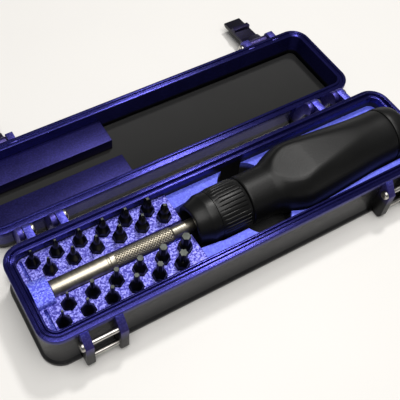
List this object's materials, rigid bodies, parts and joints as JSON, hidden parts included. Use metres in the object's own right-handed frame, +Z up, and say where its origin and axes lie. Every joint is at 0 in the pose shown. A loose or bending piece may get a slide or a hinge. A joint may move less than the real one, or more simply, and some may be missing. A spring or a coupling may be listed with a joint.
{
  "type": "precision screwdriver set",
  "caption": "Hinged plastic case lying open with two latches, a ratchet screwdriver with magnetic bit holder in a fitted tray, and loose hex-shank bits standing in rows",
  "frame": {"origin": "centre of the base half's underside, on the surface the case stands on", "axes": "+X along the case from the bit end to the handle end, +Y from the catches towards the hinge and the open lid, +Z up"},
  "size_m": [0.2306, 0.165, 0.039],
  "materials": {
    "shell": "printed in thin level layers, charcoal walls under a blue rim",
    "pad": "printed, deep blue to lilac, level layers",
    "tray": "printed, lilac blue with a fine grain",
    "stop": "printed, bright blue, stepped layers",
    "latch": "printed, charcoal with a violet sheen",
    "screw": "plain steel",
    "handle": "black, soft satin sheen",
    "collar": "black, fine ribs",
    "mechanism": "machined steel, hidden",
    "shaft": "turned steel, bright, knurled in the middle",
    "magnet": "plain, hidden at the foot of the socket",
    "bit": "black oxide with bare steel tip faces"
  },
  "bodies": {
    "base": {"base_shell": "shell", "bit_tray": "tray", "shaft_bed": "tray", "handle_tray": "tray", "tip_stop": "stop", "hinge_screws": "screw", "catch_screws": "screw", "keeper_rods": "screw"},
    "lid": {"lid_shell": "shell", "lid_pads": "pad", "latch_screws": "screw"},
    "left_latch": {"latch_left": "latch"},
    "right_latch": {"latch_right": "latch"},
    "driver": {"handle_body": "handle", "nose_bushing": "collar", "ratchet_core": "mechanism", "pawl_a": "mechanism", "pawl_b": "mechanism"},
    "spindle": {"shaft": "shaft", "ratchet_gear": "mechanism", "bit_magnet": "magnet"},
    "selector": {"ratchet_collar": "collar"},
    "cap": {"end_cap": "handle"},
    "loose_cross_1": {"bit_cross_1": "bit"},
    "loose_cross_2": {"bit_cross_2": "bit"},
    "loose_cross_3": {"bit_cross_3": "bit"},
    "loose_cross_4": {"bit_cross_4": "bit"},
    "loose_cross_5": {"bit_cross_5": "bit"},
    "loose_cross_6": {"bit_cross_6": "bit"},
    "loose_pozi_1": {"bit_pozi_1": "bit"},
    "loose_pozi_2": {"bit_pozi_2": "bit"},
    "loose_pozi_3": {"bit_pozi_3": "bit"},
    "loose_pozi_4": {"bit_pozi_4": "bit"},
    "loose_pozi_5": {"bit_pozi_5": "bit"},
    "loose_pozi_6": {"bit_pozi_6": "bit"},
    "loose_hex_1": {"bit_hex_1": "bit"},
    "loose_hex_2": {"bit_hex_2": "bit"},
    "loose_hex_3": {"bit_hex_3": "bit"},
    "loose_hex_4": {"bit_hex_4": "bit"},
    "loose_hex_5": {"bit_hex_5": "bit"},
    "loose_hex_6": {"bit_hex_6": "bit"},
    "loose_star_1": {"bit_star_1": "bit"},
    "loose_star_2": {"bit_star_2": "bit"},
    "loose_star_3": {"bit_star_3": "bit"},
    "loose_star_4": {"bit_star_4": "bit"},
    "loose_star_5": {"bit_star_5": "bit"},
    "loose_star_6": {"bit_star_6": "bit"}
  },
  "joints": [
    {"name": "lid_hinge", "type": "hinge", "parent": "base", "child": "lid", "pos_m": [0, 0.0354, 0.0223], "axis": [-1, 0, 0], "range_deg": [-180, 0]},
    {"name": "latch_left_pivot", "type": "hinge", "parent": "lid", "child": "left_latch", "pos_m": [-0.0875, 0.1026, 0.0103], "axis": [-1, 0, 0], "range_deg": [-95, 0]},
    {"name": "latch_right_pivot", "type": "hinge", "parent": "lid", "child": "right_latch", "pos_m": [0.0875, 0.1026, 0.0103], "axis": [-1, 0, 0], "range_deg": [-95, 0]},
    {"name": "driver_lift", "type": "slide", "parent": "base", "child": "driver", "axis": [0, 0, 1], "range_m": [0, 0.05]},
    {"name": "shaft_spin", "type": "hinge", "parent": "driver", "child": "spindle", "pos_m": [0, 0, 0.0229], "axis": [1, 0, 0], "continuous": true},
    {"name": "collar_turn", "type": "hinge", "parent": "driver", "child": "selector", "pos_m": [0, 0, 0.0229], "axis": [1, 0, 0], "range_deg": [-20, 20]},
    {"name": "end_cap_twist", "type": "hinge", "parent": "driver", "child": "cap", "pos_m": [0.1, 0, 0.0229], "axis": [1, 0, 0], "range_deg": [-30, 30]},
    {"name": "bit_cross_1_lift", "type": "slide", "parent": "base", "child": "loose_cross_1", "axis": [0, 0, 1], "range_m": [0, 0.03]},
    {"name": "bit_cross_2_lift", "type": "slide", "parent": "base", "child": "loose_cross_2", "axis": [0, 0, 1], "range_m": [0, 0.03]},
    {"name": "bit_cross_3_lift", "type": "slide", "parent": "base", "child": "loose_cross_3", "axis": [0, 0, 1], "range_m": [0, 0.03]},
    {"name": "bit_cross_4_lift", "type": "slide", "parent": "base", "child": "loose_cross_4", "axis": [0, 0, 1], "range_m": [0, 0.03]},
    {"name": "bit_cross_5_lift", "type": "slide", "parent": "base", "child": "loose_cross_5", "axis": [0, 0, 1], "range_m": [0, 0.03]},
    {"name": "bit_cross_6_lift", "type": "slide", "parent": "base", "child": "loose_cross_6", "axis": [0, 0, 1], "range_m": [0, 0.03]},
    {"name": "bit_pozi_1_lift", "type": "slide", "parent": "base", "child": "loose_pozi_1", "axis": [0, 0, 1], "range_m": [0, 0.03]},
    {"name": "bit_pozi_2_lift", "type": "slide", "parent": "base", "child": "loose_pozi_2", "axis": [0, 0, 1], "range_m": [0, 0.03]},
    {"name": "bit_pozi_3_lift", "type": "slide", "parent": "base", "child": "loose_pozi_3", "axis": [0, 0, 1], "range_m": [0, 0.03]},
    {"name": "bit_pozi_4_lift", "type": "slide", "parent": "base", "child": "loose_pozi_4", "axis": [0, 0, 1], "range_m": [0, 0.03]},
    {"name": "bit_pozi_5_lift", "type": "slide", "parent": "base", "child": "loose_pozi_5", "axis": [0, 0, 1], "range_m": [0, 0.03]},
    {"name": "bit_pozi_6_lift", "type": "slide", "parent": "base", "child": "loose_pozi_6", "axis": [0, 0, 1], "range_m": [0, 0.03]},
    {"name": "bit_hex_1_lift", "type": "slide", "parent": "base", "child": "loose_hex_1", "axis": [0, 0, 1], "range_m": [0, 0.03]},
    {"name": "bit_hex_2_lift", "type": "slide", "parent": "base", "child": "loose_hex_2", "axis": [0, 0, 1], "range_m": [0, 0.03]},
    {"name": "bit_hex_3_lift", "type": "slide", "parent": "base", "child": "loose_hex_3", "axis": [0, 0, 1], "range_m": [0, 0.03]},
    {"name": "bit_hex_4_lift", "type": "slide", "parent": "base", "child": "loose_hex_4", "axis": [0, 0, 1], "range_m": [0, 0.03]},
    {"name": "bit_hex_5_lift", "type": "slide", "parent": "base", "child": "loose_hex_5", "axis": [0, 0, 1], "range_m": [0, 0.03]},
    {"name": "bit_hex_6_lift", "type": "slide", "parent": "base", "child": "loose_hex_6", "axis": [0, 0, 1], "range_m": [0, 0.03]},
    {"name": "bit_star_1_lift", "type": "slide", "parent": "base", "child": "loose_star_1", "axis": [0, 0, 1], "range_m": [0, 0.03]},
    {"name": "bit_star_2_lift", "type": "slide", "parent": "base", "child": "loose_star_2", "axis": [0, 0, 1], "range_m": [0, 0.03]},
    {"name": "bit_star_3_lift", "type": "slide", "parent": "base", "child": "loose_star_3", "axis": [0, 0, 1], "range_m": [0, 0.03]},
    {"name": "bit_star_4_lift", "type": "slide", "parent": "base", "child": "loose_star_4", "axis": [0, 0, 1], "range_m": [0, 0.03]},
    {"name": "bit_star_5_lift", "type": "slide", "parent": "base", "child": "loose_star_5", "axis": [0, 0, 1], "range_m": [0, 0.03]},
    {"name": "bit_star_6_lift", "type": "slide", "parent": "base", "child": "loose_star_6", "axis": [0, 0, 1], "range_m": [0, 0.03]}
  ]
}
